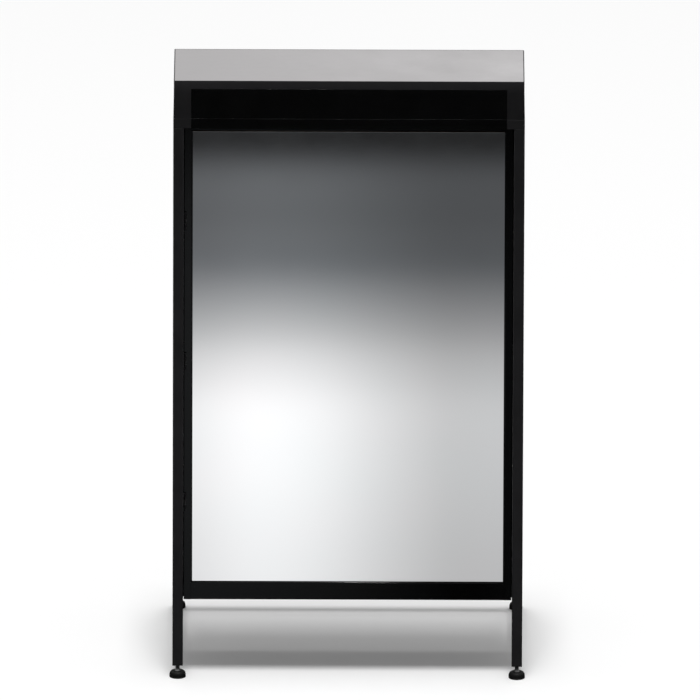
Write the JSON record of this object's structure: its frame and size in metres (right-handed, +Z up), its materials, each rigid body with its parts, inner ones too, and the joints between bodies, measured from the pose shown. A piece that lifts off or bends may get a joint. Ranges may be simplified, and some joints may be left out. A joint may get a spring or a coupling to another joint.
{
  "type": "medicine cabinet",
  "caption": "Free-standing shallow cabinet in a black tube frame, with a hinged mirror door, glass shelves, a hood with a grey top and levelling feet.",
  "frame": {"origin": "on the floor, at the centre of the rectangle round the four feet", "axes": "+Z up; the mirror faces -Y; the door's hinges are at -X"},
  "size_m": [0.6792, 0.4452, 1.1965],
  "materials": {
    "frame_black": "fine matt powder coat",
    "hood_black": "fine matt powder coat on sheet",
    "top_grey": "light grey satin laminate",
    "fascia_gloss": "gloss black",
    "board_black": "black melamine-faced board",
    "back_board": "dark hardboard",
    "shelf_glass": "clear toughened glass with polished edges",
    "mirror_silver": "silvered glass",
    "mirror_board": "thin hardboard",
    "bond_tape": "foam bonding tape",
    "door_black": "semi-gloss black anodised profile",
    "key_alloy": "cast alloy",
    "hinge_black": "semi-gloss black",
    "plated_steel": "dark zinc-plated steel",
    "screw_black": "black-oxide steel",
    "foot_black": "hard black nylon",
    "plug_black": "moulded black nylon",
    "bumper_clear": "soft translucent silicone",
    "pin_nickel": "nickel-plated",
    "catch_black": "moulded black plastic with steel poles"
  },
  "bodies": {
    "frame": {"anchor_nuts": "plated_steel", "back_panel": "back_board", "back_panel_screws": "screw_black", "bottom_panel": "board_black", "carcass_screws": "screw_black", "catch_screws": "screw_black", "ceiling_panel": "board_black", "door_bumpers": "bumper_clear", "fascia_panel": "fascia_gloss", "front_leg_left": "frame_black", "front_leg_right": "frame_black", "glass_shelf_lower": "shelf_glass", "glass_shelf_middle": "shelf_glass", "glass_shelf_upper": "shelf_glass", "header_rail_front": "frame_black", "header_rail_rear": "frame_black", "header_soffit": "frame_black", "header_trim": "fascia_gloss", "hinge_frame_leaves": "hinge_black", "hinge_frame_screws": "screw_black", "hinge_pins": "plated_steel", "hood_screws": "screw_black", "hood_shell": "hood_black", "leg_plugs": "plug_black", "lower_rear_rail": "frame_black", "lower_side_rail_left": "frame_black", "lower_side_rail_right": "frame_black", "magnetic_catch": "catch_black", "panel_screws": "screw_black", "plug_nuts": "plated_steel", "rail_end_caps": "plug_black", "rear_leg_left": "frame_black", "rear_leg_right": "frame_black", "shelf_pins": "pin_nickel", "side_panel_left": "board_black", "side_panel_right": "board_black", "top_panel": "top_grey", "top_panel_ribs": "hood_black", "top_side_rail_left": "frame_black", "top_side_rail_right": "frame_black"},
    "door": {"door_stile_left": "door_black", "door_stile_right": "door_black", "door_rail_top": "door_black", "door_rail_bottom": "door_black", "mirror_glass": "mirror_silver", "mirror_backing": "mirror_board", "mirror_tape": "bond_tape", "door_corner_keys": "key_alloy", "door_screws": "screw_black", "hinge_door_leaves": "hinge_black", "hinge_door_rivets": "screw_black", "strike_plate": "plated_steel"},
    "foot_front_left": {"foot_base_front_left": "foot_black", "foot_stud_front_left": "plated_steel"},
    "foot_front_right": {"foot_base_front_right": "foot_black", "foot_stud_front_right": "plated_steel"},
    "foot_rear_left": {"foot_base_rear_left": "foot_black", "foot_stud_rear_left": "plated_steel"},
    "foot_rear_right": {"foot_base_rear_right": "foot_black", "foot_stud_rear_right": "plated_steel"}
  },
  "joints": [
    {"name": "door_hinge", "type": "hinge", "parent": "frame", "child": "door", "pos_m": [-0.311, -0.18, 0.6235], "axis": [0, 0, -1], "range_deg": [0, 95]},
    {"name": "foot_front_left_adjust", "type": "slide", "parent": "frame", "child": "foot_front_left", "axis": [0, 0, 1], "range_m": [-0.01, 0.006]},
    {"name": "foot_front_right_adjust", "type": "slide", "parent": "frame", "child": "foot_front_right", "axis": [0, 0, 1], "range_m": [-0.01, 0.006]},
    {"name": "foot_rear_left_adjust", "type": "slide", "parent": "frame", "child": "foot_rear_left", "axis": [0, 0, 1], "range_m": [-0.01, 0.006]},
    {"name": "foot_rear_right_adjust", "type": "slide", "parent": "frame", "child": "foot_rear_right", "axis": [0, 0, 1], "range_m": [-0.01, 0.006]}
  ]
}
